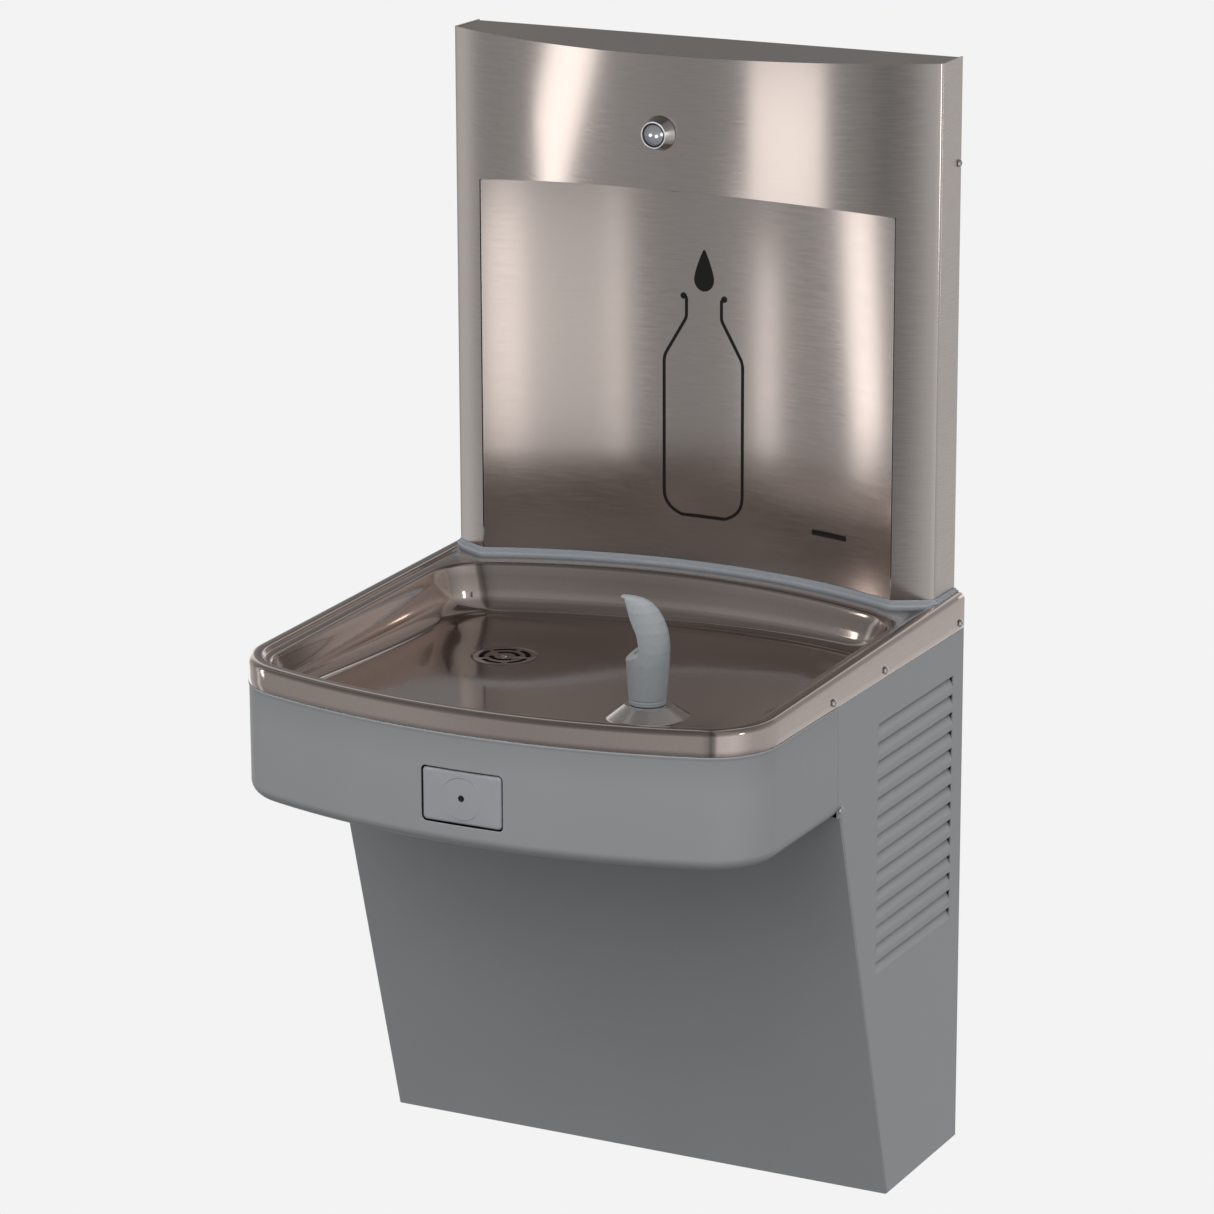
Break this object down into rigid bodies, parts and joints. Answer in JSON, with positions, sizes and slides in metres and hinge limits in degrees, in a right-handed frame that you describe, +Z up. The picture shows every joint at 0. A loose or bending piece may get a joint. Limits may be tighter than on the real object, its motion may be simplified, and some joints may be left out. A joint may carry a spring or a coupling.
{
  "type": "drinking fountain",
  "caption": "Wall-hung stainless drinking fountain with a push-pad bubbler, louvred grey cabinet and a touchless bottle filler in a bowed steel back shroud.",
  "frame": {"origin": "middle of the wall hanger's back face, on the wall", "axes": "+Z up; +Y into the wall, so the front faces -Y; +X to the right as seen from the front"},
  "size_m": [0.4618, 0.447, 0.918],
  "materials": {
    "brushed_stainless": "warm stainless steel with a fine horizontal brushed grain",
    "grey_paint": "satin mid-grey powder coat",
    "pad_plastic": "satin mid-grey moulded plastic",
    "gasket_rubber": "matt blue-grey rubber",
    "bubbler_plastic": "smooth satin blue-grey moulding",
    "chrome_trim": "bright polished chrome",
    "sensor_glass": "clear domed lens",
    "galvanised_sheet": "zinc-plated sheet steel, faint spangle",
    "black_plastic": "matt black moulded plastic",
    "black_enamel": "gloss black enamel on steel",
    "tank_foam": "dark closed-cell foam jacket",
    "brass_fitting": "machined brass",
    "copper_line": "bare copper and fins",
    "white_plastic": "white plastic tube and dial"
  },
  "bodies": {
    "root": {"wall_hanger": "galvanised_sheet", "back_panel": "galvanised_sheet", "side_panel_left": "grey_paint", "side_panel_right": "grey_paint", "front_apron": "grey_paint", "apron_floor": "grey_paint", "lower_front_panel": "grey_paint", "bottom_pan": "galvanised_sheet", "basin_top": "brushed_stainless", "drain_strainer": "brushed_stainless", "drain_body": "chrome_trim", "drain_locknut": "brass_fitting", "waste_tube": "white_plastic", "bubbler": "bubbler_plastic", "bubbler_locknut": "brass_fitting", "bubbler_tube": "white_plastic", "pad_frame": "black_plastic", "valve_bracket": "galvanised_sheet", "valve_body": "brass_fitting", "valve_spring": "galvanised_sheet", "shroud_gasket": "gasket_rubber", "shroud_front": "brushed_stainless", "shroud_side_left": "brushed_stainless", "shroud_side_right": "brushed_stainless", "shroud_back": "galvanised_sheet", "top_cap": "brushed_stainless", "alcove_panel": "brushed_stainless", "alcove_ceiling": "brushed_stainless", "sensor_bezel": "chrome_trim", "sensor_lens": "sensor_glass", "sensor_body": "black_plastic", "filler_nozzle": "chrome_trim", "solenoid_valve": "black_plastic", "filler_tube": "white_plastic", "nozzle_tube": "white_plastic", "cooling_tank": "tank_foam", "compressor_plate": "galvanised_sheet", "compressor": "black_enamel", "filter_drier": "copper_line", "condenser": "copper_line", "fan_shroud": "galvanised_sheet", "fan_motor": "black_plastic", "stop_valve": "brass_fitting", "supply_tube": "white_plastic", "thermostat_body": "black_plastic", "junction_box": "galvanised_sheet", "rim_screw_left_rear": "chrome_trim", "rim_screw_left_middle": "chrome_trim", "rim_screw_left_front": "chrome_trim", "rim_screw_right_rear": "chrome_trim", "rim_screw_right_middle": "chrome_trim", "rim_screw_right_front": "chrome_trim", "shroud_screw_left": "chrome_trim", "shroud_screw_right": "chrome_trim", "apron_screw_left": "chrome_trim", "apron_screw_right": "chrome_trim"},
    "push_pad": {"push_pad": "pad_plastic"},
    "valve_stem": {"valve_stem": "chrome_trim"},
    "fan": {"fan_blade": "galvanised_sheet"},
    "thermostat_dial": {"thermostat_dial": "white_plastic"}
  },
  "joints": [
    {"name": "pad_press", "type": "slide", "parent": "root", "child": "push_pad", "axis": [0, 1, 0], "range_m": [0, 0.004], "stiffness_N_per_m": 600, "springref_m": -0.003},
    {"name": "stem_press", "type": "slide", "parent": "root", "child": "valve_stem", "axis": [0, 1, 0], "range_m": [0, 0.004]},
    {"name": "fan_spin", "type": "hinge", "parent": "root", "child": "fan", "pos_m": [0.166, -0.0975, -0.0575], "axis": [1, 0, 0], "continuous": true},
    {"name": "dial_turn", "type": "hinge", "parent": "root", "child": "thermostat_dial", "pos_m": [0, -0.0343, -0.08], "axis": [0, -1, 0], "range_deg": [-135, 135]}
  ],
  "couplings": [
    {"joint": "stem_press", "follows": "pad_press", "ratio": 1}
  ]
}
